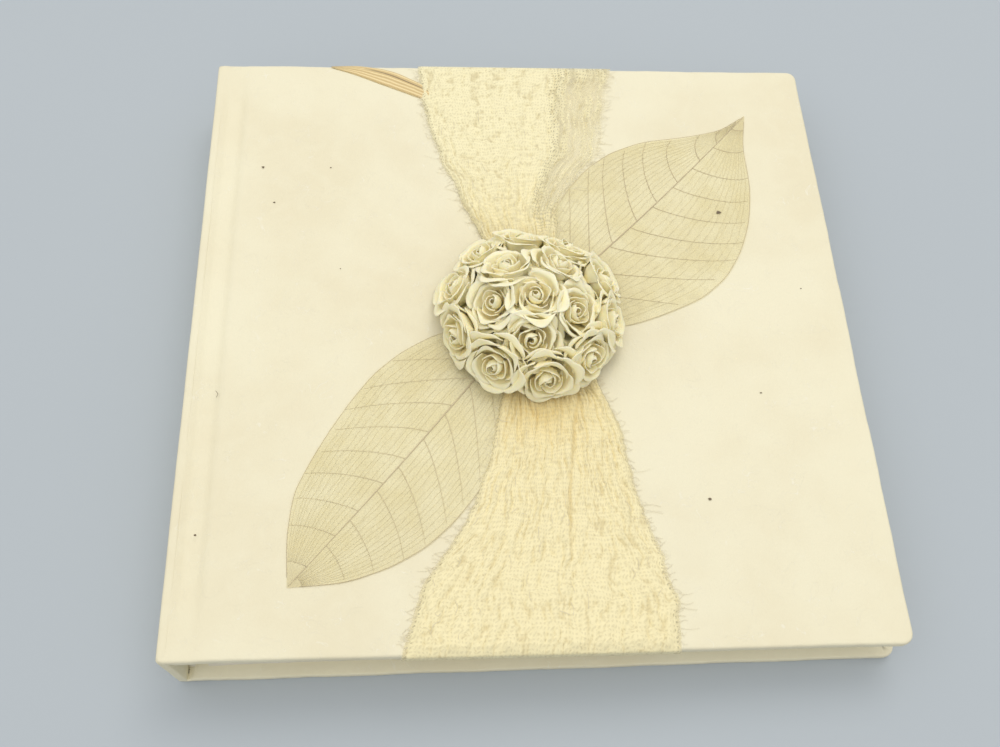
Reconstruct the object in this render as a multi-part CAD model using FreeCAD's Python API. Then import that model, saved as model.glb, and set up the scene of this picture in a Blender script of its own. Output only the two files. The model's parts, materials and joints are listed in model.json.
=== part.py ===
"""Square wedding guest book, case-bound in handmade paper.

Frame: millimetres, +X from the spine to the fore-edge, +Y from tail to head, +Z up.
The book lies closed on its back cover. The origin is at the bottom centre.
The front cover slopes down a little from the spine to the fore-edge, because the
folds and the thread make the block of leaves thicker at its back.
"""

import FreeCAD, Part
import math
import os

# Case
COVER_SIDE = 220.0  # the covers are square
SPINE_HEIGHT = 29.0  # outer face of the front cover, at the spine
FORE_EDGE_HEIGHT = 21.0  # the same face, at the fore-edge
CORNER_RADIUS = 3.0
COVER_PAPER = 0.5
BOARD = 2.5
ENDPAPER = 0.4
TURN_IN = 15.0  # cover paper folded over onto the inside of each board
PASTEDOWN_INSET = 4.0
JOINT_START = 3.5  # from the outside of the spine to the hinge line
JOINT_WIDTH = 8.3  # flexible strip between the hinge line and a board
SPINE_BOARD = 2.0
SPINE_STEP = 0.3  # the spine stands this much off the table
SPINE_TOP_DROP = 0.6  # and this much below the front cover's face
HINGE_GAP = 0.1

# Block of leaves
SECTIONS = 5
SHEETS_PER_SECTION = 4
LEAF = 0.29
BLOCK_FORE_INSET = 6.0
BLOCK_HEAD_INSET = 5.0
FOLD_STEP = 0.45  # how far each sheet sits inside the fold of the one round it
THREAD = 0.4
THREAD_STATIONS = (-88.0, -53.0, -18.0, 18.0, 53.0, 88.0)
SPINE_LINING = 0.35
LINING_HEAD_INSET = 16.0

# Things glued to the front cover, in its own plane: X, Y from its centre, Z off its face
SASH = 0.7
SASH_HEAD = (-36.0, 38.0)  # its left and right ends at the head edge
SASH_TAIL = (-40.5, 40.0)
SASH_TURN_IN = 4.2
SASH_LEFT_EDGE = [(-34.0, 92.0), (-27.0, 64.0), (-15.0, 34.0), (-9.0, 0.0), (-9.0, -30.0)]
SASH_LEFT_EDGE += [(-15.0, -54.0), (-29.0, -81.0)]
SASH_RIGHT_EDGE = [(39.0, -84.0), (31.0, -54.0), (25.0, -30.0), (14.0, 0.0), (12.0, 40.0)]
SASH_RIGHT_EDGE += [(28.0, 68.0), (34.0, 92.0)]
RAFFIA = 0.4
RAFFIA_OUTLINE = [(-66.0, 110.0), (-50.0, 110.0), (-28.0, 98.0), (-30.0, 92.0)]
SKELETON_LEAF = 0.25
UPPER_LEAF_TIP = (87.0, 88.0)
UPPER_LEAF_SIDE_A = [(75.0, 81.5), (45.0, 76.5), (22.0, 60.0), (8.0, 36.0)]
UPPER_LEAF_BASE = (4.0, 4.0)
UPPER_LEAF_SIDE_B = [(33.5, -2.5), (63.0, 11.0), (79.5, 37.5), (85.0, 66.0)]
LOWER_LEAF_TIP = (-75.0, -90.0)
LOWER_LEAF_SIDE_A = [(-75.0, -66.0), (-62.5, -36.5), (-42.0, -11.5), (-24.0, -3.0)]
LOWER_LEAF_BASE = (-4.0, -4.0)
LOWER_LEAF_SIDE_B = [(-8.0, -42.0), (-21.0, -64.0), (-42.0, -82.5), (-62.0, -89.5)]

# Bouquet: paper roses on a foam dome, each facing out from a point on the cover
BOUQUET_CENTRE = (0.5, -3.0)
DOME_RADIUS = 14.0
DOME_SINK = 1.0
ROSE_RADIUS = 7.3
ROSE_DEPTH = 11.0
ROSE_FOOT_RADIUS = 2.0
BUD_RADIUS = 3.0
CUP_THICKNESS = 1.2
CUP_DEPTH = 5.5
APEX_RADIUS = 25.5
INNER_RING = {"polar": 40.0, "radius": 25.0, "azimuths": (-26, -95, -168, 128, 52)}
OUTER_RING = {
    "polar": 74.0,
    "radius": 26.5,
    "azimuths": (26, -10, -46, -84, -122, -160, 163, 129, 95, 60.5),
}

HALF = COVER_SIDE / 2
SLOPE = math.atan2(SPINE_HEIGHT - FORE_EDGE_HEIGHT, COVER_SIDE)
COVER_MID_HEIGHT = (SPINE_HEIGHT + FORE_EDGE_HEIGHT) / 2
COVER_THICKNESS = 2 * COVER_PAPER + BOARD + ENDPAPER
HINGE_X = JOINT_START - HALF
LEAVES = SECTIONS * SHEETS_PER_SECTION * 2 + 2  # with the two flyleaves


def box(low, high):
    size = [b - a for a, b in zip(low, high)]
    return Part.makeBox(*size, FreeCAD.Vector(*low))


def plate(outline, low, high):
    """A flat plate of a straight-sided outline, from one height to another."""
    points = [FreeCAD.Vector(x, y, low) for x, y in outline]
    face = Part.Face(Part.makePolygon(points + points[:1]))
    return face.extrude(FreeCAD.Vector(0, 0, high - low))


def prism(profile, half_width):
    """A solid with one X, Z profile all along Y."""
    points = [FreeCAD.Vector(x, -half_width, z) for x, z in profile]
    face = Part.Face(Part.makePolygon(points + points[:1]))
    return face.extrude(FreeCAD.Vector(0, 2 * half_width, 0))


def round_fore_corners(solid, radius):
    """Rounds the two upright edges at the fore-edge."""
    x_max = solid.BoundBox.XMax
    corners = []
    for edge in solid.Edges:
        a, b = (v.Point for v in edge.Vertexes)
        upright = abs(a.x - b.x) < 1e-6 and abs(a.y - b.y) < 1e-6
        if upright and abs(a.x - x_max) < 1e-6:
            corners.append(edge)
    return solid.makeFillet(radius, corners)


# Each cover is built with its outer face at Z = 0 and its inside below, then placed.


def cover_board():
    low = (JOINT_START + JOINT_WIDTH - HALF, COVER_PAPER - HALF, -COVER_PAPER - BOARD)
    high = (HALF - COVER_PAPER, HALF - COVER_PAPER, -COVER_PAPER)
    return round_fore_corners(box(low, high), CORNER_RADIUS - COVER_PAPER)


def cover_paper():
    """The sheet round a board: outer face, edges, turned-in border and joint strip."""
    board_x = JOINT_START + JOINT_WIDTH - HALF
    inner = -COVER_PAPER - BOARD
    low = (board_x - COVER_PAPER, -HALF, inner - COVER_PAPER)
    wrap = round_fore_corners(box(low, (HALF, HALF, 0)), CORNER_RADIUS)
    window_low = (board_x, TURN_IN - HALF, inner - COVER_PAPER)
    window = box(window_low, (HALF - TURN_IN, HALF - TURN_IN, inner))
    joint_low = (HINGE_X + HINGE_GAP, -HALF, inner - COVER_PAPER)
    joint = box(joint_low, (board_x, HALF, inner))
    return wrap.fuse(joint).cut(cover_board()).cut(window).removeSplitter()


def pastedown():
    """Endpaper glued inside a cover: it lies on the turned-in border, and steps down inside it."""
    inner = -COVER_PAPER - BOARD
    x_window = (JOINT_START + JOINT_WIDTH - HALF, HALF - TURN_IN)
    y_window = HALF - TURN_IN
    low = (HINGE_X + HINGE_GAP, PASTEDOWN_INSET - HALF, -COVER_THICKNESS)
    high = (HALF - PASTEDOWN_INSET, HALF - PASTEDOWN_INSET, inner - COVER_PAPER)
    border = box(low, high)
    step = box((x_window[0], -y_window, -COVER_THICKNESS), (x_window[1], y_window, inner))
    dish_low = (x_window[0] + ENDPAPER, ENDPAPER - y_window, -COVER_THICKNESS)
    dish_high = (x_window[1] - ENDPAPER, y_window - ENDPAPER, inner - ENDPAPER)
    return border.fuse(step).cut(box(dish_low, dish_high)).removeSplitter()


def on_front(shape):
    """Moves a shape from the front cover's own plane to its place on the closed book."""
    tilt = FreeCAD.Rotation(FreeCAD.Vector(0, 1, 0), math.degrees(SLOPE))
    placed = shape.copy()
    placed.Placement = FreeCAD.Placement(FreeCAD.Vector(0, 0, COVER_MID_HEIGHT), tilt)
    return placed


def on_back(shape):
    """Turns a shape over, so that its outer face is on the table."""
    over = FreeCAD.Rotation(FreeCAD.Vector(1, 0, 0), 180)
    placed = shape.copy()
    placed.Placement = FreeCAD.Placement(FreeCAD.Vector(0, 0, 0), over)
    return placed


def spine():
    """Spine board, the paper round it, and the lining glued to the back of the block."""
    low = (-HALF, -HALF, SPINE_STEP)
    high = (-HALF + 2 * COVER_PAPER + SPINE_BOARD, HALF, SPINE_HEIGHT - SPINE_TOP_DROP)
    board_low = [a + COVER_PAPER for a in low]
    board_high = [a - COVER_PAPER for a in high]
    board = box(board_low, board_high)
    window_low = (board_high[0], TURN_IN - HALF, board_low[2])
    window = box(window_low, (high[0], HALF - TURN_IN, board_high[2]))
    paper = box(low, high).cut(board).cut(window)
    y_lining = HALF - LINING_HEAD_INSET
    lining_low = (board_high[0], -y_lining, COVER_THICKNESS)
    lining_high = (board_high[0] + SPINE_LINING, y_lining, block_top(HINGE_X))
    return board, paper, box(lining_low, lining_high)


def block_top(x):
    """Height of the front cover's inner face, where the block of leaves ends."""
    face = COVER_MID_HEIGHT - x * math.tan(SLOPE)
    return face - COVER_THICKNESS / math.cos(SLOPE)


def leaf_bottom(index, x):
    """Height of a leaf's under-side at x, leaf 0 being the lowest."""
    share = (index + 0.5) / LEAVES
    return COVER_THICKNESS + share * (block_top(x) - COVER_THICKNESS) - LEAF / 2


def leaf_profile(index, x_start):
    x_end = HALF - BLOCK_FORE_INSET
    bottom = [(x, leaf_bottom(index, x)) for x in (x_start, x_end)]
    return bottom + [(x, z + LEAF) for x, z in reversed(bottom)]


def single_leaf(index):
    profile = leaf_profile(index, HINGE_X + HINGE_GAP)
    return prism(profile, HALF - BLOCK_HEAD_INSET)


def folded_sheet(lower, upper, depth):
    """One sheet folded round the ones inside it, which makes two leaves."""
    x_fold = HINGE_X + HINGE_GAP + depth * FOLD_STEP
    x_inside = x_fold + LEAF
    low_leaf = leaf_profile(lower, x_fold)
    high_leaf = leaf_profile(upper, x_fold)
    inside_low = (x_inside, leaf_bottom(lower, x_inside) + LEAF)
    inside_high = (x_inside, leaf_bottom(upper, x_inside))
    profile = [low_leaf[0], low_leaf[1], low_leaf[2], inside_low]
    profile += [inside_high, high_leaf[1], high_leaf[2], high_leaf[3]]
    return prism(profile, HALF - BLOCK_HEAD_INSET)


def section(number):
    """The folded sheets of one section; section 1 is the top one."""
    leaves = 2 * SHEETS_PER_SECTION
    lowest = 1 + (SECTIONS - number) * leaves
    sheets = []
    for depth in range(SHEETS_PER_SECTION):
        sheets.append(folded_sheet(lowest + depth, lowest + leaves - 1 - depth, depth))
    return Part.makeCompound(sheets)


def sewing_thread():
    """Runs of thread along the folds, and the kettle stitches that join the sections."""
    x = HINGE_X - THREAD / 2
    radius = THREAD / 2 - 0.02
    runs = []
    middles = []
    for number in range(1, SECTIONS + 1):
        lowest = 1 + (SECTIONS - number) * 2 * SHEETS_PER_SECTION
        highest = lowest + 2 * SHEETS_PER_SECTION - 1
        z = (leaf_bottom(lowest, HINGE_X) + leaf_bottom(highest, HINGE_X) + LEAF) / 2
        middles.append(z)
        for start, end in zip(THREAD_STATIONS[::2], THREAD_STATIONS[1::2]):
            along = FreeCAD.Vector(0, 1, 0)
            runs.append(Part.makeCylinder(radius, end - start, FreeCAD.Vector(x, start, z), along))
    for y in (THREAD_STATIONS[0] - THREAD, THREAD_STATIONS[-1] + THREAD):
        foot = FreeCAD.Vector(x, y, min(middles))
        runs.append(Part.makeCylinder(radius, max(middles) - min(middles), foot))
    return Part.makeCompound(runs)


def sash():
    """Gauze sash: gathered under the bouquet, and turned over the head and tail edges."""
    outline = [(SASH_HEAD[0], HALF)] + SASH_LEFT_EDGE + [(SASH_TAIL[0], -HALF)]
    outline += [(SASH_TAIL[1], -HALF)] + SASH_RIGHT_EDGE + [(SASH_HEAD[1], HALF)]
    cloth = plate(outline, 0, SASH)
    under = -2 * COVER_PAPER - BOARD
    for (left, right), side in ((SASH_HEAD, 1), (SASH_TAIL, -1)):
        edge = sorted((side * HALF, side * (HALF + SASH)))
        tuck = sorted((side * (HALF + SASH - SASH_TURN_IN), side * (HALF + SASH)))
        cloth = cloth.fuse(box((left, edge[0], under - SASH), (right, edge[1], SASH)))
        cloth = cloth.fuse(box((left, tuck[0], under - SASH), (right, tuck[1], under)))
    return cloth.removeSplitter()


def skeleton_leaf(tip, side_a, base, side_b, low):
    """A thin leaf, pointed at both ends, with two curved sides."""
    sides = []
    for points in ([tip] + side_a + [base], [base] + side_b + [tip]):
        curve = Part.BSplineCurve()
        curve.interpolate([FreeCAD.Vector(x, y, low) for x, y in points])
        sides.append(curve.toShape())
    face = Part.Face(Part.Wire(sides))
    return face.extrude(FreeCAD.Vector(0, 0, SKELETON_LEAF))


def rose():
    """One paper rose about +Z: an open cup of petals round a pointed bud, tip at Z = 0."""
    rim = -CUP_THICKNESS
    floor = rim - CUP_DEPTH
    profile = [(0, -ROSE_DEPTH), (ROSE_FOOT_RADIUS, -ROSE_DEPTH)]
    profile += [(ROSE_RADIUS * 0.75, floor), (ROSE_RADIUS, rim)]
    profile += [(ROSE_RADIUS - CUP_THICKNESS, rim), (BUD_RADIUS, floor + CUP_THICKNESS)]
    profile += [(BUD_RADIUS, rim), (0, 0)]
    points = [FreeCAD.Vector(x, 0, z) for x, z in profile]
    face = Part.Face(Part.makePolygon(points + points[:1]))
    return face.revolve(FreeCAD.Vector(0, 0, 0), FreeCAD.Vector(0, 0, 1), 360)


def rose_at(polar, azimuth, radius):
    """A rose whose bud tip is at this direction and distance from the bouquet's centre."""
    turn = FreeCAD.Rotation(FreeCAD.Vector(0, 0, 1), azimuth)
    lean = FreeCAD.Rotation(FreeCAD.Vector(0, 1, 0), polar)
    rotation = turn.multiply(lean)
    centre = FreeCAD.Vector(*BOUQUET_CENTRE, 0)
    placed = rose()
    tip = centre + rotation.multVec(FreeCAD.Vector(0, 0, radius))
    placed.Placement = FreeCAD.Placement(tip, rotation)
    return placed


def bouquet():
    """The foam dome and the roses round it, in the front cover's own plane."""
    pieces = {}
    floor = SASH + SKELETON_LEAF
    centre = FreeCAD.Vector(*BOUQUET_CENTRE, floor - DOME_SINK)
    ball = Part.makeSphere(DOME_RADIUS, centre)
    above = box((-HALF, -HALF, floor), (HALF, HALF, HALF))
    pieces["rose_dome"] = ball.common(above)
    pieces["rose_apex"] = rose_at(0, 0, APEX_RADIUS)
    for ring_name, ring in (("inner", INNER_RING), ("outer", OUTER_RING)):
        for number, azimuth in enumerate(ring["azimuths"], 1):
            flower = rose_at(ring["polar"], azimuth, ring["radius"])
            pieces[f"rose_{ring_name}_{number:02d}"] = flower
    for name, piece in pieces.items():
        if name != "rose_dome":
            pieces[name] = piece.common(above).cut(pieces["rose_dome"])
    return pieces


def front_decoration():
    cloth = sash()
    upper = (UPPER_LEAF_TIP, UPPER_LEAF_SIDE_A, UPPER_LEAF_BASE, UPPER_LEAF_SIDE_B)
    lower = (LOWER_LEAF_TIP, LOWER_LEAF_SIDE_A, LOWER_LEAF_BASE, LOWER_LEAF_SIDE_B)
    pieces = {
        "gauze_sash": cloth,
        "raffia_strand": plate(RAFFIA_OUTLINE, 0, RAFFIA).cut(cloth),
        "upper_skeleton_leaf": skeleton_leaf(*upper, SASH),
        "lower_skeleton_leaf": skeleton_leaf(*lower, 0).cut(cloth),
    }
    pieces.update(bouquet())
    return pieces


def build():
    nodes = {
        "front_board": on_front(cover_board()),
        "front_cover_paper": on_front(cover_paper()),
        "front_pastedown": on_front(pastedown()),
        "back_board": on_back(cover_board()),
        "back_cover_paper": on_back(cover_paper()),
        "back_pastedown": on_back(pastedown()),
        "front_flyleaf": single_leaf(LEAVES - 1),
        "back_flyleaf": single_leaf(0),
        "sewing_thread": sewing_thread(),
    }
    nodes["spine_board"], nodes["spine_paper"], nodes["spine_lining"] = spine()
    for number in range(1, SECTIONS + 1):
        nodes[f"section_{number}"] = section(number)
    for name, shape in front_decoration().items():
        nodes[name] = on_front(shape)
    return nodes


os.makedirs("parts", exist_ok=True)
for node, shape in build().items():
    shape.exportStep(f"parts/{node}.step")
    print(f"{node}: {shape.Volume / 1000:.2f} cm3, {len(shape.Solids)} solid(s)")
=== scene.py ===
import json
import math
import random

import bpy
import numpy as np
from mathutils import Matrix, Vector, noise


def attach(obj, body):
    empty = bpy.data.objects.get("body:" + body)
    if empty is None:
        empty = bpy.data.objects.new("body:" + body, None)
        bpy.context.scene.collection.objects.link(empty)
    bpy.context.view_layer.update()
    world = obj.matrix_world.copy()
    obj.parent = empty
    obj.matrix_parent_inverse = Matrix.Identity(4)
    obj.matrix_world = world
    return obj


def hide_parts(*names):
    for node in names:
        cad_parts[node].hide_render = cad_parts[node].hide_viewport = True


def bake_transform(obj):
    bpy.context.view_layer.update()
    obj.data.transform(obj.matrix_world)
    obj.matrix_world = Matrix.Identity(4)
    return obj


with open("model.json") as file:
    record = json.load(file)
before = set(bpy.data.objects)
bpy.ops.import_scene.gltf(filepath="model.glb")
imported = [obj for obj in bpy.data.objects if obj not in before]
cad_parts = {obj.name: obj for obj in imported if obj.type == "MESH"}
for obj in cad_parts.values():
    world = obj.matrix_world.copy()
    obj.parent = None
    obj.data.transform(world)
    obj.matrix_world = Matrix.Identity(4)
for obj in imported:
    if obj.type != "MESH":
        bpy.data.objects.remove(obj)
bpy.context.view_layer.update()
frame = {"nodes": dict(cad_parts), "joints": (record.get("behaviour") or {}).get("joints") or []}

# All lengths below are in millimetres, in the frame of the closed book, unless a name says
# otherwise. The cover plane is the front cover's outer face: X, Y from its centre, Z off it.
MM = 0.001
SPINE_HEIGHT, FORE_EDGE_HEIGHT = 29.0, 21.0
HALF = 110.0
COVER_MID_HEIGHT = (SPINE_HEIGHT + FORE_EDGE_HEIGHT) / 2
SLOPE = math.atan2(SPINE_HEIGHT - FORE_EDGE_HEIGHT, 2 * HALF)
BOARD_LEFT = -98.2
COVER_DEPTH = 3.5
INNER_FACE = 3.9
HINGE_JOINT = next(j for j in frame["joints"] if j["name"] == "front_cover_hinge")
HINGE = [c / MM for c in HINGE_JOINT["pos_m"]]

TURN_IN = 15.0
ROUND_EDGE = 0.9

LEAF = 0.26
SECTIONS, SHEETS = 5, 4
LEAVES = SECTIONS * SHEETS * 2 + 2
BLOCK_RIGHT, BLOCK_HALF_Y = 104.0, 105.0

BOUQUET = (0.5, -3.0)


# ---- helpers


def to_cover(points):
    """Points of the cover plane, placed on the closed book."""
    p = np.asarray(points, float)
    c, s = math.cos(SLOPE), math.sin(SLOPE)
    x = p[:, 0] * c + p[:, 2] * s
    z = -p[:, 0] * s + p[:, 2] * c + COVER_MID_HEIGHT
    return xyz(x, p[:, 1], z)


def turned_over(points):
    return points * [1, -1, -1]


def noise_at(points, size, seed=0.0):
    """Smooth noise from about -1 to 1, with lumps of about this size."""
    q = np.asarray(points, float) / size + seed * 17.31
    return np.array([noise.noise(v) for v in q.tolist()])


def smooth(x, low, high):
    t = np.clip((np.asarray(x, float) - low) / (high - low), 0, 1)
    return t * t * (3 - 2 * t)


def stands_for(piece, node, slot):
    """The piece takes the place of a CAD node."""
    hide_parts(node)


def add_paper(name, node, slot, body, points, faces, material, bend_end=None):
    """Paper in the place of a CAD node. With a bend end it is left free of its body, its placement
    baked into its points.
    """
    piece = make_mesh(name, points, faces, material, None if bend_end else body)
    if bend_end:
        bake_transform(piece)
    stands_for(piece, node, slot)


def xyz(x, y, z=0.0):
    return np.column_stack(np.broadcast_arrays(np.asarray(x, float), y, z))


def unit(vectors):
    return vectors / (np.linalg.norm(vectors, axis=-1, keepdims=True) + 1e-12)


def flat_grid(xs, ys):
    """The places of a grid, row after row, as one list of X and one of Y."""
    x, y = np.meshgrid(xs, ys)
    return x.ravel(), y.ravel()


def make_mesh(name, points, faces, material, body, values=None):
    """A piece from points in millimetres, with named numbers for each point.

    Without a body it is left free.
    """
    mesh = bpy.data.meshes.new(name)
    mesh.from_pydata((np.asarray(points, float) * MM).tolist(), [], faces)
    mesh.materials.append(material)
    mesh.polygons.foreach_set("use_smooth", [True] * len(mesh.polygons))
    for key, numbers in (values or {}).items():
        layer = mesh.attributes.new(key, "FLOAT", "POINT")
        layer.data.foreach_set("value", np.asarray(numbers, np.float32))
    mesh.update()
    piece = bpy.data.objects.new(name, mesh)
    bpy.context.scene.collection.objects.link(piece)
    if body is not None:
        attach(piece, body)
    return piece


def grid_faces(rows, columns, start=0, flip=False):
    """Quads of a grid whose points run along its columns first."""
    faces = []
    for i in range(rows - 1):
        for j in range(columns - 1):
            a = start + i * columns + j
            quad = (a, a + 1, a + columns + 1, a + columns)
            faces.append(quad[::-1] if flip else quad)
    return faces


def border(rows, columns):
    """The indices round the outline of a grid, in order."""
    loop = list(range(columns))
    loop += [i * columns + columns - 1 for i in range(1, rows)]
    loop += [(rows - 1) * columns + j for j in range(columns - 2, -1, -1)]
    loop += [i * columns for i in range(rows - 2, 0, -1)]
    return loop


def closed_sheet_faces(rows, columns, flip=False):
    """Faces of a thin sheet whose two sides are grids, one after the other."""
    count = rows * columns
    faces = grid_faces(rows, columns, 0, flip) + grid_faces(rows, columns, count, not flip)
    loop = border(rows, columns)
    for a, b in zip(loop, loop[1:] + loop[:1]):
        wall = (b, a, a + count, b + count)
        faces.append((a, b, b + count, a + count) if flip else wall)
    return faces


class Soup:
    """Gathers several shapes with their values into one piece."""

    def __init__(self):
        self.points, self.faces, self.values, self.count = [], [], {}, 0

    def add(self, points, faces, **values):
        points = np.asarray(points, float)
        for face in faces:
            self.faces.append(tuple(k + self.count for k in face))
        self.points.append(points)
        for key, numbers in values.items():
            filled = np.broadcast_to(np.asarray(numbers, float), (len(points),))
            self.values.setdefault(key, []).append(filled)
        self.count += len(points)

    def make(self, name, material, placed=to_cover):
        """A piece of the front cover."""
        points = placed(np.concatenate(self.points))
        values = {key: np.concatenate(parts) for key, parts in self.values.items()}
        return make_mesh(name, points, self.faces, material, "front_cover", values)


def tube(line, radii, sides=5):
    """A thin tube along a line of points, with its own radius at each of them."""
    line = np.asarray(line, float)
    along = unit(np.gradient(line, axis=0))
    up = np.tile([0.0, 0.0, 1.0], (len(line), 1))
    up[np.abs(along[:, 2]) > 0.9] = [1.0, 0.0, 0.0]
    side = unit(np.cross(along, up))
    top = np.cross(side, along)
    radii = np.broadcast_to(np.asarray(radii, float), (len(line),))
    rings = []
    for k in range(sides):
        a = 2 * math.pi * k / sides
        rings.append(line + (side * math.cos(a) + top * math.sin(a)) * radii[:, None])
    points = np.stack(rings, axis=1).reshape(-1, 3)
    faces = []
    for i in range(len(line) - 1):
        for k in range(sides):
            a, b = i * sides + k, i * sides + (k + 1) % sides
            faces.append((a, b, b + sides, a + sides))
    faces.append(tuple(range(sides))[::-1])
    faces.append(tuple((len(line) - 1) * sides + k for k in range(sides)))
    return points, faces


def curve_through(points, count):
    """A smooth line through a few points, evenly cut."""
    p = np.asarray(points, float)
    want = np.linspace(0, len(p) - 1, count)
    before = np.vstack([2 * p[0] - p[1], p[:-1]])
    after = np.vstack([p[1:], 2 * p[-1] - p[-2]])
    slope = (after - before) / 2
    i = np.clip(want.astype(int), 0, len(p) - 2)
    u = (want - i)[:, None]
    h00, h10 = 2 * u**3 - 3 * u**2 + 1, u**3 - 2 * u**2 + u
    h01, h11 = -2 * u**3 + 3 * u**2, u**3 - u**2
    return h00 * p[i] + h10 * slope[i] + h01 * p[i + 1] + h11 * slope[i + 1]


# ---- camera, light, floor


LIGHT_TARGET = (0, 0, 0.02)  # metres
FLOOR_HALF = 6000.0


def add_camera():
    """The camera stands close over the tail edge, a little left of the middle."""
    place = np.array([-33.59, -173.65, 304.94])
    right = np.array([0.99748, -0.03773, 0.06004])
    down = np.array([-0.00668, -0.89290, -0.45021])
    turned = to_cover(np.array([place, right, down, [0, 0, 0]]))
    x_axis, y_axis = turned[1] - turned[3], turned[3] - turned[2]
    y_axis -= x_axis * (x_axis @ y_axis) / (x_axis @ x_axis)
    matrix = Matrix.Identity(4)
    for k, axis in enumerate((x_axis, y_axis, np.cross(x_axis, y_axis))):
        matrix.col[k].xyz = unit(axis)
    matrix.col[3].xyz = turned[0] * MM
    data = bpy.data.cameras.new("camera")
    data.sensor_width = 36.0
    data.lens = 37.94
    data.clip_start = 0.01
    camera = bpy.data.objects.new("camera", data)
    camera.matrix_world = matrix
    bpy.context.scene.collection.objects.link(camera)
    bpy.context.scene.camera = camera


def set_sockets(node, **values):
    """Sets a node's sockets by name, with _ for a space."""
    for key, value in values.items():
        node.inputs[key.replace("_", " ")].default_value = value


def add_area_light(name, place, size, power, colour):
    data = bpy.data.lights.new(name, "AREA")
    data.shape = "DISK"
    data.size = size
    data.energy = power
    data.color = colour
    light = bpy.data.objects.new(name, data)
    light.location = place
    aim = Vector(LIGHT_TARGET) - Vector(place)
    light.rotation_euler = aim.to_track_quat("-Z", "Y").to_euler()
    bpy.context.scene.collection.objects.link(light)


def add_studio():
    world = bpy.data.worlds.new("studio")
    bpy.context.scene.world = world
    world.use_nodes = True
    tree = world.node_tree
    direction = tree.nodes.new("ShaderNodeTexCoord").outputs["Generated"]
    parts = tree.nodes.new("ShaderNodeSeparateXYZ")
    ramp = tree.nodes.new("ShaderNodeMapRange")
    set_sockets(ramp, From_Min=-0.1, From_Max=0.9, To_Min=0.18, To_Max=1.03)
    background = tree.nodes["Background"]
    set_sockets(background, Color=(1.0, 0.985, 0.95, 1))
    tree.links.new(direction, parts.inputs[0])
    tree.links.new(parts.outputs["Z"], ramp.inputs["Value"])
    tree.links.new(ramp.outputs["Result"], background.inputs["Strength"])
    add_area_light("key", (0.32, 0.60, 1.25), 0.8, 3.9, (1.0, 0.97, 0.92))
    add_area_light("front", (-0.10, -0.24, 1.35), 0.8, 1.3, (1.0, 0.97, 0.91))
    add_area_light("fill", (-0.9, 0.0, 1.2), 1.0, 0.9, (0.96, 0.98, 1.0))
    bpy.context.scene.view_settings.view_transform = "Standard"
    corners = FLOOR_HALF * np.array([(-1, -1, 0), (1, -1, 0), (1, 1, 0), (-1, 1, 0)])
    paint = ((0.44, 0.49, 0.54), (0.47, 0.52, 0.57))
    floor_paint = plain_material("floor_paint", paint, 300, 2.0, 0.75)
    make_mesh("floor", corners, [(0, 1, 2, 3)], floor_paint, None)


# ---- materials


class Nodes:
    """Short calls for building a node material."""

    def __init__(self, name):
        self.material = bpy.data.materials.new(name)
        self.material.use_nodes = True
        self.tree = self.material.node_tree
        self.shader = self.tree.nodes["Principled BSDF"]
        self.place = self.node("ShaderNodeTexCoord").outputs["Object"]

    def node(self, kind, **settings):
        made = self.tree.nodes.new(kind)
        for key, value in settings.items():
            setattr(made, key, value)
        return made

    def link(self, source, target):
        self.tree.links.new(source, target)

    def put(self, socket, value):
        if isinstance(value, bpy.types.NodeSocket):
            self.link(value, socket)
        else:
            socket.default_value = value

    def noise(self, size_mm, detail=4.0, rough=0.55, stretch=(1, 1, 1), distortion=0.0):
        """Noise whose lumps are about this size."""
        made = self.node("ShaderNodeTexNoise")
        set_sockets(made, Scale=1.0, Detail=detail, Roughness=rough, Distortion=distortion)
        mapping = self.node("ShaderNodeMapping")
        self.link(self.place, mapping.inputs["Vector"])
        set_sockets(mapping, Scale=[k / (size_mm * MM) for k in stretch])
        self.link(mapping.outputs["Vector"], made.inputs["Vector"])
        return made.outputs["Fac"]

    def ramp(self, factor, low, high, start=0.0, end=1.0):
        """Maps a range of one number to another range, without going past its ends."""
        made = self.node("ShaderNodeMapRange", interpolation_type="SMOOTHSTEP")
        self.put(made.inputs["Value"], factor)
        set_sockets(made, From_Min=low, From_Max=high, To_Min=start, To_Max=end)
        return made.outputs["Result"]

    def math(self, operation, a, b=0.0):
        made = self.node("ShaderNodeMath", operation=operation)
        self.put(made.inputs[0], a)
        self.put(made.inputs[1], b)
        return made.outputs["Value"]

    def times(self, a, b):
        return self.math("MULTIPLY", a, b)

    def mix(self, factor, a, b):
        made = self.node("ShaderNodeMix", data_type="RGBA")
        self.put(made.inputs["Factor"], factor)
        colour_inputs = [socket for socket in made.inputs if socket.type == "RGBA"]
        for socket, value in zip(colour_inputs, (a, b)):
            self.put(socket, value if isinstance(value, bpy.types.NodeSocket) else (*value, 1))
        return next(socket for socket in made.outputs if socket.type == "RGBA")

    def value(self, name):
        return self.node("ShaderNodeAttribute", attribute_name=name).outputs["Fac"]

    def bump(self, height, distance_mm, strength=1.0, under=None):
        made = self.node("ShaderNodeBump")
        set_sockets(made, Strength=strength, Distance=distance_mm * MM)
        self.link(height, made.inputs["Height"])
        if under is not None:
            self.link(under, made.inputs["Normal"])
        return made.outputs["Normal"]

    def finish(self, colour, roughness, normal=None, **constants):
        self.put(self.shader.inputs["Base Color"], colour)
        self.put(self.shader.inputs["Roughness"], roughness)
        if normal is not None:
            self.link(normal, self.shader.inputs["Normal"])
        for key, value in constants.items():
            self.put(self.shader.inputs[key.replace("_", " ")], value)
        return self.material


def plain_material(name, colours, size, detail, roughness, grain=None):
    """A colour drifting between two. A grain is its size, its detail and its height."""
    n = Nodes(name)
    normal = n.bump(n.noise(*grain[:2]), grain[2]) if grain else None
    return n.finish(n.mix(n.noise(size, detail), *colours), roughness, normal)


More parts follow.
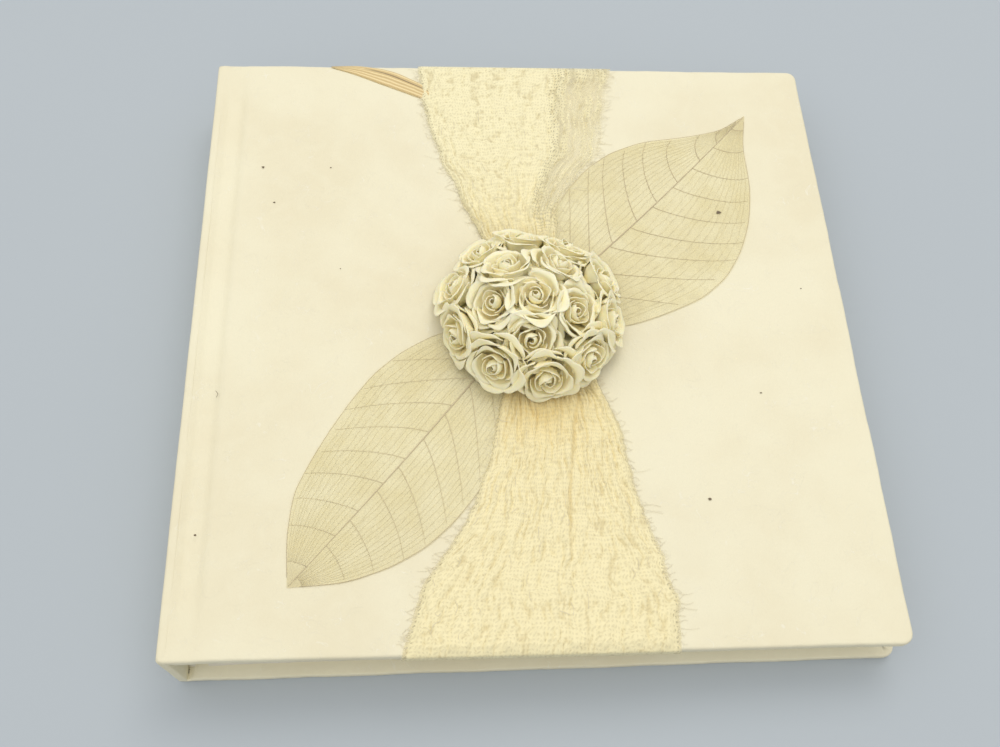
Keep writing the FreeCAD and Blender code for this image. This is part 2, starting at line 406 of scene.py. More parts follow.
def paper_material(name, light, dark, fibre, fibre_share):
    """Handmade paper: cloudy pulp, long soft fibres, and a soft pressed surface."""
    n = Nodes(name)
    clouds = n.noise(38, 3.0, 0.5)
    patches = n.noise(9, 5.0, 0.6, distortion=0.6)
    colour = n.mix(n.ramp(clouds, 0.35, 0.68), dark, light)
    colour = n.mix(n.ramp(patches, 0.40, 0.75, 0.0, 0.45), colour, light)
    strands = 0.0
    for size, width, distortion in ((9.0, 0.007, 1.4), (4.5, 0.010, 0.9)):
        lumps = n.noise(size, 1.0, 0.4, distortion=distortion)
        level = n.math("ABSOLUTE", n.math("SUBTRACT", lumps, 0.5))
        line = n.ramp(level, 0.0, width, 1.0, 0.0)
        patchy = n.ramp(n.noise(size * 1.6, 2.0), 0.52, 0.62)
        strands = n.math("MAXIMUM", strands, n.times(line, patchy))
    colour = n.mix(n.times(strands, fibre_share), colour, fibre)
    grain = n.noise(0.55, 3.0, 0.7)
    normal = n.bump(grain, 0.10, 0.55)
    normal = n.bump(n.noise(3.2, 4.0, 0.6, distortion=0.8), 0.28, 0.6, normal)
    normal = n.bump(strands, 0.06, 0.6, normal)
    roughness = n.ramp(grain, 0.2, 0.8, 0.78, 0.95)
    return n.finish(colour, roughness, normal, Specular_IOR_Level=0.25)


def woven_material(name, light, dark, pitch_mm):
    """Plain woven cloth seen by object place, for the hidden lining and thread."""
    n = Nodes(name)
    colour = n.mix(n.noise(pitch_mm * 3, 3.0), dark, light)
    waves = []
    for axis in ("X", "Y"):
        wave = n.node("ShaderNodeTexWave", bands_direction=axis)
        set_sockets(wave, Scale=0.314 / (pitch_mm * MM))
        n.link(n.place, wave.inputs["Vector"])
        waves.append(wave.outputs["Fac"])
    weave = n.times(*waves)
    return n.finish(colour, 0.9, n.bump(weave, 0.12))


def gauze_material():
    """Loose cotton gauze: crossing threads with open gaps, thinner where the cloth spreads."""
    n = Nodes("cotton_gauze")
    across, along, cover = n.value("across_mm"), n.value("along_mm"), n.value("cover")
    wander = n.noise(6, 3.0, 0.6)
    pulled = n.times(n.math("SUBTRACT", wander, 0.5), 5.0)
    threads = []
    for place, pitch in ((across, 1.15), (along, 1.45)):
        phase = n.times(n.math("ADD", place, pulled), 2 * math.pi / pitch)
        threads.append(n.math("ADD", n.times(n.math("SINE", phase), 0.5), 0.5))
    weave = n.math("MAXIMUM", *threads)
    gaps = n.times(*(n.math("SUBTRACT", 1.0, thread) for thread in threads))
    slubs = n.noise(1.6, 4.0, 0.7, distortion=1.0)
    light, dark, warm = (0.92, 0.855, 0.57), (0.60, 0.51, 0.29), (0.88, 0.715, 0.35)
    colour = n.mix(n.ramp(slubs, 0.15, 0.50), dark, light)
    # Painted shade: the cloth is darker where its crinkle relief is low, in the valleys between
    # the puffs.
    colour = n.mix(n.ramp(n.value("relief"), 0.05, 0.62, 0.62, 0.0), colour, dark)
    # Painted warm shade and bounced light: the cloth turns the warm colour where these values are
    # high, below the bouquet, at the waist and along the fold.
    colour = n.mix(n.value("painted_warm_shade"), colour, warm)
    # Painted shadow: the gaps between the threads are darkened, as the threads' shadow on the
    # paper below.
    colour = n.mix(n.ramp(gaps, 0.35, 0.95, 0.0, 0.16), colour, dark)
    open_share = n.ramp(gaps, 0.25, 0.9, 1.0, 0.55)
    uneven = n.times(n.math("SUBTRACT", slubs, 0.5), 0.5)
    thin = n.ramp(n.math("ADD", cover, uneven), 0.0, 1.0)
    thick = n.ramp(cover, 0.75, 1.0, 0.0, 0.93)
    alpha = n.math("MAXIMUM", n.times(open_share, thin), thick)
    normal = n.bump(weave, 0.12, 0.6)
    normal = n.bump(slubs, 0.07, 0.5, normal)
    return n.finish(colour, 0.92, normal, Alpha=alpha, Sheen_Weight=0.15, Specular_IOR_Level=0.2)


def leaf_material():
    """Bleached skeleton leaf: a thin yellowish web with ladder veins, partly see-through."""
    n = Nodes("skeleton_leaf")
    ladder = n.value("ladder")
    web = n.node("ShaderNodeTexVoronoi", feature="DISTANCE_TO_EDGE")
    set_sockets(web, Scale=1 / (0.75 * MM))
    n.link(n.place, web.inputs["Vector"])
    cells = n.ramp(web.outputs["Distance"], 0.02, 0.22)
    clouds = n.noise(14, 4.0, 0.6)
    colour = n.mix(n.ramp(clouds, 0.3, 0.7), (0.90, 0.82, 0.50), (0.97, 0.91, 0.62))
    brown = (0.52, 0.44, 0.27)
    colour = n.mix(n.times(ladder, 0.20), colour, brown)
    colour = n.mix(n.ramp(cells, 0.0, 1.0, 0.10, 0.0), colour, brown)
    # Painted shade at the tip of each leaf, plus random cloudy tone, both browner where these
    # values are high.
    colour = n.mix(n.value("tip_shade_and_tone"), colour, (0.56, 0.46, 0.25))
    solid = n.ramp(cells, 0.0, 1.0, 0.80, 0.66)
    alpha = n.math("MAXIMUM", solid, n.times(ladder, 0.8))
    normal = n.bump(cells, 0.05, 0.5)
    return n.finish(colour, 0.7, normal, Alpha=alpha, Specular_IOR_Level=0.3)


def vein_material():
    n = Nodes("leaf_vein")
    colour = n.mix(n.noise(4, 3.0), (0.50, 0.41, 0.27), (0.62, 0.53, 0.36))
    colour = n.mix(n.ramp(n.value("faint"), 0.0, 1.0, 0.0, 0.8), colour, (0.85, 0.775, 0.51))
    return n.finish(colour, 0.75, n.bump(n.noise(0.4, 3.0), 0.04))


def raffia_material():
    n = Nodes("raffia_fibre")
    across = n.value("across")
    wave = n.noise(3, 4.0, 0.7, (0.25, 0.25, 1))
    phase = n.math("ADD", n.times(across, 34.0), n.times(wave, 5.0))
    streak = n.math("SINE", phase)
    colour = n.mix(n.ramp(streak, -0.8, 0.9), (0.66, 0.49, 0.23), (0.88, 0.72, 0.40))
    dark_line = n.ramp(n.value("streak"), 0.25, 0.85)
    colour = n.mix(dark_line, colour, (0.24, 0.17, 0.09))
    return n.finish(colour, 0.55, n.bump(streak, 0.10, 0.7))


def petal_material():
    """Dyed mulberry paper: warm in the depth of the flower and paler along the rims."""
    n = Nodes("rose_petal_paper")
    rim, depth = n.value("rim"), n.value("depth")
    blotch = n.noise(4.5, 4.0, 0.6)
    fibres = n.noise(1.1, 4.0, 0.7, (0.5, 2.2, 1), 1.5)
    colour = n.mix(n.ramp(blotch, 0.3, 0.7), (0.98, 0.89, 0.56), (0.99, 0.92, 0.63))
    colour = n.mix(n.ramp(depth, 0.15, 1.0, 0.0, 0.8), colour, (0.99, 0.85, 0.50))
    colour = n.mix(n.ramp(rim, 0.70, 0.98, 0.0, 0.8), colour, (0.99, 0.935, 0.69))
    colour = n.mix(n.ramp(fibres, 0.58, 0.75, 0.0, 0.3), colour, (0.99, 0.94, 0.71))
    normal = n.bump(fibres, 0.08, 0.5)
    normal = n.bump(n.noise(0.45, 3.0, 0.7), 0.05, 0.5, normal)
    inner = {"Subsurface_Radius": (1.0, 0.75, 0.4), "Subsurface_Scale": 0.0008}
    return n.finish(colour, 0.9, normal, Specular_IOR_Level=0.15, Subsurface_Weight=0.3, **inner)


# ---- covers


def rounded_outline(x, y, box, radii):
    """Moves the points of a grid near its corners in to round corners."""
    (x0, x1), (y0, y1) = box
    for cx, sx, r in ((x0, -1, radii[0]), (x1, 1, radii[1])):
        for cy, sy in ((y0, -1), (y1, 1)):
            mx, my = cx - sx * r, cy - sy * r
            dx, dy = (x - mx) * sx, (y - my) * sy
            inside = (dx > 0) & (dy > 0)
            longest = np.maximum(dx, dy)
            scale = np.where(inside, longest / (np.hypot(dx, dy) + 1e-9), 1.0)
            x = np.where(inside, mx + sx * dx * scale, x)
            y = np.where(inside, my + sy * dy * scale, y)
    return x, y


def wrapped_slab(box, radii, depth, lift, seed, step=1.1, wobble=0.25):
    """Paper over a board: a face at Z = 0, round edges, and a border turned in underneath.

    depth(x) is how far down the edges go, and lift(x, y) moves the face up or down.
    """
    (x0, x1), (y0, y1) = box
    edge = ROUND_EDGE
    nx, ny = int((x1 - x0) / step) + 1, int((y1 - y0) / step) + 1
    inner_box = ((x0 + edge, x1 - edge), (y0 + edge, y1 - edge))
    gx, gy = flat_grid(np.linspace(*inner_box[0], nx), np.linspace(*inner_box[1], ny))
    gx, gy = rounded_outline(gx, gy, inner_box, [max(r - edge, 0.2) for r in radii])
    top = xyz(gx, gy)
    loop = border(ny, nx)
    rim = top[loop]
    tangent = np.roll(rim, -1, axis=0) - np.roll(rim, 1, axis=0)
    out = unit(xyz(tangent[:, 1], -tangent[:, 0]))
    ragged = noise_at(rim, 16.0, seed) * wobble + noise_at(rim, 4.0, seed + 3) * wobble * 0.35
    top[:, 2] = lift(top[:, 0], top[:, 1])
    base = top[loop] + out * ragged[:, None]
    deep = depth(base[:, 0])
    turned_in = min(TURN_IN, (x1 - x0) / 2 - edge - 1)
    rings = []
    for degrees in (22, 45, 68, 90):
        a = math.radians(degrees)
        rings.append((edge * math.sin(a), edge * (1 - math.cos(a))))
    for share in (0.4, 0.75):
        rings.append((edge + 0.05, edge + (deep - 1.6 * edge) * share))
    for degrees in (0, 45, 90):
        a = math.radians(degrees)
        out_by = edge - 0.5 * (1 - math.cos(a))
        rings.append((out_by, np.maximum(deep - 0.5 + 0.5 * math.sin(a), edge)))
    for share in (0.3, 1.0):
        rings.append((-turned_in * share, deep))
    points = [top]
    for out_by, down in rings:
        ring = base + out * out_by
        ring[:, 2] -= down
        points.append(ring)
    faces = grid_faces(ny, nx)
    previous, start = loop, len(top)
    for _ in rings:
        ring = list(range(start, start + len(loop)))
        faces += zip(previous, ring, ring[1:] + ring[:1], previous[1:] + previous[:1])
        previous, start = ring, start + len(loop)
    return np.concatenate(points), faces


def cover_lift(seed):
    """The soft unevenness of paper glued by hand over a board."""

    def lift(x, y):
        p = xyz(x, y)
        broad = noise_at(p, 34.0, seed) * 0.22
        small = noise_at(p, 9.0, seed + 5) * 0.09
        return broad + small - 0.10 + joint_lift(x, y)

    return lift


def joint_lift(x, y):
    """The paper dips a little between the spine's shoulder and the board, softest at the tail."""
    dip = smooth(x, -107.6, -104.5) * (1 - smooth(x, -101.0, -97.4))
    soft = 0.75 + 0.9 * smooth(-np.abs(y), -HALF, -HALF + 22)
    ends = 1 - smooth(np.abs(y), HALF - 26, HALF)
    shoulder = -0.32 * (1 - smooth(x, -109.0, -104.0))
    return -dip * (0.55 + 0.45 * ends) * 0.9 * soft + shoulder


LIP_DEPTH = 1.9


def front_depth(x):
    """The lip laid over the spine is thin; from the joint on the edge is its full height."""
    return LIP_DEPTH + (COVER_DEPTH - LIP_DEPTH) * smooth(x, -106.6, -104.6)


def add_covers(paper):
    box = ((-109.7, HALF), (-HALF, HALF))
    radii = (1.3, 3.4)
    points, faces = wrapped_slab(box, radii, front_depth, cover_lift(1.0), 1.0)
    front = "front_paper_wrap", "front_cover_paper", "cover_paper", "front_cover"
    add_paper(*front, to_cover(points), faces, paper, BOARD_LEFT)

    points, faces = wrapped_slab(box, radii, front_depth, cover_lift(7.0), 6.0)
    points = turned_over(points)
    points[:, 2] = np.maximum(points[:, 2], 0.0)
    back = "back_paper_wrap", "back_cover_paper", "cover_paper", "case"
    add_paper(*back, points, faces, paper)

    spine_box = ((0.45 - SPINE_HEIGHT, -0.25), (-HALF, HALF))
    points, faces = wrapped_slab(spine_box, (1.0, 1.0), spine_depth, spine_lift, 9.0, 0.9, 0.15)
    placed = xyz(-HALF - points[:, 2], points[:, 1], -points[:, 0])
    spine = "spine_paper_wrap", "spine_paper", "cover_paper", "case"
    add_paper(*spine, placed, [face[::-1] for face in faces], paper)


def spine_depth(x):
    return 3.0


def spine_lift(x, y):
    p = xyz(x, y)
    return noise_at(p, 20.0, 11.0) * 0.09 + noise_at(p, 6.0, 12.0) * 0.04 - 0.12


def sheet_with_rim(x, y, z_low, z_high, rows, columns):
    """A closed thin sheet from two grids of heights over one grid of places."""
    sides = [xyz(x, y, z) for z in (z_low, z_high)]
    return np.concatenate(sides), closed_sheet_faces(rows, columns, flip=True)


def deckle(x, y, corner, seed, amount):
    """Moves the outline of a sheet in and out a little, as on paper made in a mould."""
    x1, y1 = corner
    p = xyz(x, y)
    uneven = noise_at(p, 13.0, seed) * amount + noise_at(p, 3.0, seed + 2) * amount * 0.5
    fore = smooth(x, x1 - 6, x1)
    ends = smooth(np.abs(y), y1 - 6, y1)
    return x + uneven * fore, y + np.sign(y) * uneven * ends


def add_pastedown(node, body, material, placed, seed, bend_end=None):
    """The endpaper glued inside a cover, over the board and its turned-in paper."""
    x0, x1, y1 = HINGE[0] + 0.15, HALF - 4.0, HALF - 4.0
    columns, rows = 130, 110
    gx, gy = flat_grid(np.linspace(x0, x1, columns), np.linspace(-y1, y1, rows))
    x, y = deckle(gx, gy, (x1, y1), seed, 0.4)
    over_turn_in = smooth(np.maximum(np.abs(y) - (HALF - 17), x - (HALF - 17)), 0.0, 2.0)
    level = -3.45 - 0.40 * np.maximum(over_turn_in, 1 - smooth(x, -99.5, -97.0))
    level = level + noise_at(xyz(x, y), 24.0, seed) * 0.05
    points, faces = sheet_with_rim(x, y, level - 0.05, level + 0.30, rows, columns)
    names = f"{node}_sheet", node, "endpaper", body
    add_paper(*names, placed(points), faces, material, bend_end)


# ---- leaves


def block_top(x):
    return COVER_MID_HEIGHT - x * math.tan(SLOPE) - INNER_FACE / math.cos(SLOPE)


def leaf_middle(index, x):
    share = (index + 0.5) / LEAVES
    return INNER_FACE + share * (block_top(x) - INNER_FACE)


def add_folded_sheet(soup, lower, upper, depth, seed):
    """Two leaves and the fold between them, as one closed sheet."""
    x_fold = HINGE[0] + 0.15 + depth * 0.45
    columns, rows = 44, 60
    run = np.linspace(0, 1, columns) ** 1.35
    out = x_fold + 0.8 + run * (BLOCK_RIGHT - x_fold - 0.8)
    z_low, z_high = leaf_middle(lower, x_fold), leaf_middle(upper, x_fold)
    middle, reach = (z_low + z_high) / 2, (z_high - z_low) / 2
    turn = np.radians(np.linspace(80, -80, 7))
    fold_x = x_fold + LEAF / 2 + 0.75 * (1 - np.cos(turn))
    fold_z = middle - reach * np.sin(turn)
    x = np.concatenate([out[::-1], fold_x, out])
    z = np.concatenate([leaf_middle(lower, out)[::-1], fold_z, leaf_middle(upper, out)])
    line = np.column_stack([x, z])
    along = unit(np.gradient(line, axis=0))
    normal = np.column_stack([-along[:, 1], along[:, 0]])
    y = np.linspace(-BLOCK_HALF_Y, BLOCK_HALF_Y, rows)
    upper_half = np.arange(len(line)) > len(line) // 2
    leaf_seed = seed + 0.37 * np.tile(upper_half, rows)
    sides = []
    for sign in (-1, 1):
        profile = line + normal * sign * LEAF / 2
        gx, gy = flat_grid(profile[:, 0], y)
        dx, dy = ragged_edges(gx, gy, leaf_seed)
        sides.append(xyz(gx + dx, gy + dy, np.tile(profile[:, 1], rows)))
    soup.add(np.concatenate(sides), closed_sheet_faces(rows, len(line), flip=True))


def ragged_edges(x, y, seed):
    """How far a leaf's edges leave a straight line: uneven, and each leaf a little different."""
    p = xyz(x * 0 + seed * 40, y, x)
    fore = smooth(x, BLOCK_RIGHT - 7, BLOCK_RIGHT)
    shift = np.sin(seed * 37.7) * 0.45
    dx = (noise_at(p, 15.0, 2.0) * 0.5 + noise_at(p, 3.5, 3.0) * 0.28 + shift) * fore
    ends = smooth(np.abs(y), BLOCK_HALF_Y - 6, BLOCK_HALF_Y)
    q = xyz(x, x * 0 + seed * 40, np.sign(y) * 50)
    shift_y = np.cos(seed * 51.3) * 0.35
    dy = noise_at(q, 15.0, 4.0) * 0.45 + noise_at(q, 3.5, 5.0) * 0.25 + shift_y
    return dx, dy * ends * np.sign(y)


def add_leaves(paper, endpaper):
    for number in range(1, SECTIONS + 1):
        lowest = 1 + (SECTIONS - number) * 2 * SHEETS
        soup = Soup()
        for depth in range(SHEETS):
            seed = number * 1.7 + depth * 0.61
            add_folded_sheet(soup, lowest + depth, lowest + 2 * SHEETS - 1 - depth, depth, seed)
        body = f"section_{number}"
        names = f"folded_leaves_{number}", body, "leaf_paper", body
        reach = 11.0 + 2.2 * number if number <= 2 else 26.0
        add_paper(*names, np.concatenate(soup.points), soup.faces, paper, HINGE[0] + reach)
    add_flyleaf("front_flyleaf", "flyleaf", LEAVES - 1, endpaper, HINGE[0] + 10.5)
    add_flyleaf("back_flyleaf", "case", 0, endpaper)


def add_flyleaf(node, body, index, material, bend_end=None):
    columns, rows = 90, 80
    xs = np.linspace(HINGE[0] + 0.15, BLOCK_RIGHT, columns)
    x, y = flat_grid(xs, np.linspace(-BLOCK_HALF_Y, BLOCK_HALF_Y, rows))
    dx, dy = ragged_edges(x, y, index * 0.73 + 0.2)
    low, high = leaf_middle(index, x) - LEAF / 2, leaf_middle(index, x) + LEAF / 2
    shape = sheet_with_rim(x + dx, y + dy, low, high, rows, columns)
    add_paper(f"{node}_sheet", node, "endpaper", body, *shape, material, bend_end)


# ---- gauze sash


# The cloth's edges from head to tail, as Y and X on the cover.
SASH_LEFT = [(112, -36), (94, -34.6), (77, -30.9), (64, -27.2), (52, -21.3), (32, -13.9)]
SASH_LEFT += [(10, -9.5), (-10, -8.5), (-28, -9), (-51, -13.9), (-69, -21.3), (-81, -28.7)]
SASH_LEFT += [(-91, -35.4), (-112, -41)]
SASH_RIGHT = [(112, 38.5), (100, 35.5), (84, 32.5), (69, 29.8), (60, 22.5), (42, 13)]
SASH_RIGHT += [(20, 11.5), (0, 14), (-28, 24), (-39, 28.5), (-54, 30.5), (-69, 33)]
SASH_RIGHT += [(-82, 37.6), (-96, 40.3), (-112, 40)]
SASH_TURN_IN = 7.6
SASH_FLAT_WIDTH = 76
EDGE_START, EDGE_DROP = 0.3, 3.9


def edge_at(points, y):
    ys, xs = zip(*sorted(points))
    return np.interp(y, ys, xs)


def sash_height(x, y):
    """How high the cloth stands off the cover in the middle of its folds."""
    left, right = edge_at(SASH_LEFT, y), edge_at(SASH_RIGHT, y)
    width = right - left
    share = (x - left) / width
    inside = smooth(share, -0.02, 0.07) * (1 - smooth(share, 0.93, 1.02))
    bunched = np.clip(26.0 / width, 0.3, 1.25)
    return inside * (0.5 + 0.85 * bunched)


def puffs(places, size, seed, sharp):
    """Rounded puffs from 0 to 1 with thin valleys between them."""
    return np.clip(np.abs(noise_at(places, size, seed)) * sharp, 0, 1) ** 0.8


def add_sash(material, thread):
    across_count, step = 190, 0.62
    stations = np.arange(-HALF - SASH_TURN_IN, HALF + SASH_TURN_IN + step, step)
    t, s = flat_grid(np.linspace(0, 1, across_count), stations)
    y = np.clip(s, -HALF, HALF)
    left, right = edge_at(SASH_LEFT, y), edge_at(SASH_RIGHT, y)
    fray = xyz(s, 0.0)
    left = left + noise_at(fray, 9.0, 21) * 1.0 + noise_at(fray, 1.7, 22) * 0.55
    right = right + noise_at(fray, 9.0, 23) * 1.0 + noise_at(fray, 1.7, 24) * 0.55
    width = right - left
    x = left + t * width
    gathered = np.exp(-(((s - 4) / 38.0) ** 2))
    upper = smooth(s, 26, 50)
    flat_x = t * SASH_FLAT_WIDTH
    drift = noise_at(xyz(flat_x * 0.4, s), 9.0, 35) * 2.2
    cloth = xyz(flat_x + drift, s * 0.16)
    folds = 1 - 2.4 * np.abs(noise_at(cloth, 6.0, 31))
    pleats = puffs(cloth * [1, 1.3, 1], 3.4, 32, 3.6)
    dashes = puffs(cloth * [1, 2.4, 1], 1.9, 33, 3.2)
    cross = puffs(xyz(flat_x * 0.34, s - 0.22 * x), 2.5, 34, 3.2)
    middle_panel = smooth(x - left, 5, 9) * (1 - smooth(t, 0.60, 0.70))
    laddered = upper * middle_panel
    inside = smooth(t, 0.0, 0.05) * (1 - smooth(t, 0.95, 1.0))
    lift = 0.28 + inside * (
        (0.50 + 0.95 * gathered) * np.clip(folds, -0.4, 1)
        + (0.66 + 0.30 * gathered) * pleats * (1 - 0.6 * laddered)
        + 0.42 * dashes * (1 - 0.8 * laddered)
        + 0.62 * cross * laddered
    )
    # The relief values only colour the cloth, as painted shade in the crinkle valleys where they
    # are low.
    relief = 0.5 * pleats + 0.5 * dashes * (1 - 0.9 * laddered) + 0.5 * cross * laddered
    overlap_line = np.interp(s, (-75, -62, -39, -28), (9.0, 9.8, 12.7, 14.9))
    doubled = (1 - smooth(x - overlap_line, -0.2, 0.9)) * smooth(x - overlap_line, -9.0, -0.5)
    fold_end = smooth(s, -92, -66) * (1 - smooth(s, -31, -24))
    lift = np.clip(lift + 0.95 * doubled * fold_end, 0.14, None)
    beyond = np.abs(s) - HALF
    y_out = HALF + 0.55 * smooth(beyond, 0, 0.8)
    z = lift * (1 - 0.75 * smooth(np.abs(s), HALF - 2.5, HALF))
    down = np.clip(beyond - EDGE_START, 0, EDGE_DROP)
    under = np.clip(beyond - EDGE_START - EDGE_DROP, 0, None)
    wrapped = beyond > 0
    y = np.where(wrapped, np.sign(s) * (y_out - under), y)
    z = np.where(wrapped, 0.14 - down, z)
    points = xyz(x, y, z)
    # Along the fold line the crease lowers the relief, a painted shadow just past the edge of the
    # doubled cloth.
    crease = np.exp(-(((x - overlap_line - 0.7) / 0.6) ** 2)) * fold_end
    relief = np.clip(relief - 0.8 * crease, 0, None)
    streaks = 0.5 + 0.5 * np.clip(noise_at(cloth * [1, 0.6, 1], 1.6, 36) * 2.5, -1, 1)
    at_right = smooth(t, 0.66, 0.80) * smooth(s, 30, 52) * (1 - 0.55 * smooth(s, 96, 112))
    sheer = 1 - (0.80 - 0.45 * streaks) * at_right
    ragged = smooth(t, 0.0, 0.03) * (1 - smooth(t, 0.97, 1.0))
    # These values paint warm shade and bounced light on the cloth: below the bouquet, at the
    # gathered waist, in the lower half and along the fold line.
    painted_warm_shade = 0.85 * np.exp(-(((x - 3) / 11) ** 2) - ((s + 30) / 11) ** 2) + 0.5 * gathered
    painted_warm_shade = painted_warm_shade + 0.24 * (1 - smooth(s, -10, 40)) + 0.35 * crease
    values = {
        "across_mm": t * 74,
        "along_mm": s,
        "cover": sheer * (0.45 + 0.55 * ragged),
        "painted_warm_shade": np.clip(painted_warm_shade, 0, 1) * 0.8,
        "relief": relief,
    }
    faces = grid_faces(len(stations), across_count, flip=True)
    sash = make_mesh("gauze_cloth", to_cover(points), faces, material, "front_cover", values)
    fringe = add_fringe(points.reshape(len(stations), across_count, 3), thread)
    stands_for(sash, "gauze_sash", "gauze")


def add_fringe(points, material):
    """Loose threads along the frayed edges, and a few pulled out of the folds."""
    chance = random.Random(5)
    uniform = chance.uniform
    soup = Soup()
    rows = len(points)
    for column, side in ((0, -1), (-1, 1)):
        row = 16
        while row < rows - 16:
            start = points[row, column]
            reach = uniform(0.8, 2.6) if chance.random() < 0.85 else uniform(3, 6)
            lean = uniform(-1.6, 1.6)
            bend = uniform(-0.8, 0.8)
            inward = np.array([-side * 1.2, 0, 0.05])
            tip = start + [side * reach, lean, 0]
            middle = (start + tip) / 2 + [0, bend, 0]
            line = curve_through([start + inward, start, middle, tip], 7)
            line[:, 2] = np.clip(line[:, 2], 0.12, 0.5)
            thickness = uniform(0.05, 0.10)
            soup.add(*tube(line, np.linspace(thickness, thickness * 0.5, 7), 4))
            row += chance.choice((1, 1, 2, 2, 3))
    for _ in range(260):
        row = chance.randrange(20, rows - 20)
        column = chance.randrange(6, points.shape[1] - 6)
        start = points[row, column]
        if np.hypot(start[0] - BOUQUET[0], start[1] - BOUQUET[1]) < 26:
            continue
        angle = uniform(0, math.pi) if chance.random() < 0.4 else math.pi / 2
        reach = uniform(1.5, 5.0)
        direction = np.array([math.cos(angle), math.sin(angle), 0])
        bow = np.array([-direction[1], direction[0], 0]) * uniform(-0.9, 0.9)
        top = start[2] + 0.12
        half = direction * reach / 2
        line = curve_through([start - half, start + bow + [0, 0, 0.2], start + half], 7)
        line[:, 2] = np.maximum(line[:, 2], top)
        thickness = uniform(0.045, 0.085)
        soup.add(*tube(line, thickness, 4))
    return soup.make("gauze_loose_threads", material)


# ---- skeleton leaves


class LeafShape:
    """A leaf about a curved midrib, with the grid of its blade following its side veins."""

    def __init__(self, tip, bow, left, right, sweep):
        self.base = np.array([-1.0, -1.0])
        run = np.array(tip) - self.base
        self.length = np.linalg.norm(run)
        self.along = run / self.length
        self.side = np.array([-self.along[1], self.along[0]])
        self.bow, self.left, self.right, self.sweep = bow, left, right, sweep

    def half_width(self, v, sign):
        widths = self.left if sign > 0 else self.right
        shares = np.linspace(0, 1, len(widths))
        fine = np.linspace(0, 1, 101)
        rough = np.interp(fine, shares, widths)
        kernel = np.hanning(13)
        kernel /= kernel.sum()
        padded = np.pad(rough, 6, mode="reflect", reflect_type="odd")
        return np.interp(v, fine, np.maximum(np.convolve(padded, kernel, "valid"), 0.0))

    def at(self, v, u):
        """The point at v along the midrib and u from it, where -1 and 1 are the margins."""
        v, u = np.broadcast_arrays(np.asarray(v, float), np.asarray(u, float))
        reach = np.abs(u)
        v_here = v + self.sweep * reach**1.25 * (1 - v) * (0.35 + 0.65 * smooth(v, 0.0, 0.25))
        width = np.where(u >= 0, self.half_width(v_here, 1), self.half_width(v_here, -1))
        bent = self.bow * np.sin(math.pi * np.clip(v_here, 0, 1))
        spine = self.base + v_here[..., None] * self.length * self.along
        return spine + (bent + u * width)[..., None] * self.side


LEAF_CLEARANCE = 0.22
SIDE_VEINS = 10


def leaf_height(flat, over_sash, seed):
    """How high a leaf lies at these places, with its own soft waves."""
    p = xyz(*flat.T)
    waves = noise_at(p, 17.0, seed) * 0.22 + noise_at(p, 6.0, seed + 1) * 0.07
    under = sash_height(*flat.T) if over_sash else 0.0
    return LEAF_CLEARANCE + under + np.abs(waves)


def add_leaf(which, shape, over_sash, blade, vein, seed, pale):
    rows, columns = 130, 81
    u, v = flat_grid(np.linspace(-1.0, 1.0, columns), np.linspace(0.0, 1.0, rows))
    flat = shape.at(v, u)
    p = xyz(*flat.T)
    points = np.column_stack([flat, leaf_height(flat, over_sash, seed)])
    root = np.linspace(0.045, 0.93, SIDE_VEINS)
    step = root[1] - root[0]
    phase = (v - root[0]) / step
    rung = np.abs(u) * shape.half_width(v, 1) / 1.9
    wander = noise_at(p, 5.0, seed + 2) * 0.9
    place = (rung + wander + np.floor(phase) * 0.37) % 1
    ladder = np.clip(1 - np.abs(place - 0.5) * 7, 0, 1)
    clouds = np.clip(noise_at(p, 25.0, seed + 4) + 0.2, 0, 1)
    # These values are painted shade towards the tip, plus random cloudy tone.
    values = {"ladder": ladder, "tip_shade_and_tone": 0.35 * smooth(v, 0.86, 1.0) + 0.10 * clouds}
    faces = grid_faces(rows, columns)
    name = f"{which}_leaf_blade"
    leaf = make_mesh(name, to_cover(points), faces, blade, "front_cover", values)
    stands_for(leaf, f"{which}_skeleton_leaf", "skeleton_leaf")

    soup = Soup()

    def vein_line(vs, us, radii, sides=5, faint=0.0):
        line = shape.at(vs, us)
        high = leaf_height(line, over_sash, seed) + 0.06
        soup.add(*tube(np.column_stack([line, high]), radii, sides), faint=faint)

    along = np.linspace(0.0, 0.995, 60)
    vein_line(along, np.zeros(60), np.linspace(0.32, 0.10, 60), 6, 0.6 * pale)
    chance = random.Random(int(seed))
    for sign in (-1, 1):
        offset = 0.3 * step if sign > 0 else 0
        roots = [v + offset + chance.uniform(-0.1, 0.1) * step for v in root]
        for k, v_root in enumerate(roots):
            reach = np.linspace(0, chance.uniform(0.93, 0.985), 26)
            vs = np.full(26, min(v_root, 0.97))
            vein_line(vs, sign * reach, np.linspace(0.13, 0.055, 26), 4, pale)
            if k + 1 == len(roots):
                continue
            for u in np.linspace(0.10, 0.90, 12):
                bend = np.array([0, 0.012, 0, -0.010, 0]) * chance.uniform(-1, 1)
                us = sign * (u + chance.uniform(-0.02, 0.02) + bend)
                vein_line(np.linspace(v_root, roots[k + 1], 5), us, np.full(5, 0.045), 3, 1.0)
    margin = np.linspace(0.03, 0.97, 90)
    for sign in (-1, 1):
        vein_line(margin, np.full(90, sign * 0.992), np.full(90, 0.07), 4)
    soup.make(f"{name}_veins", vein)


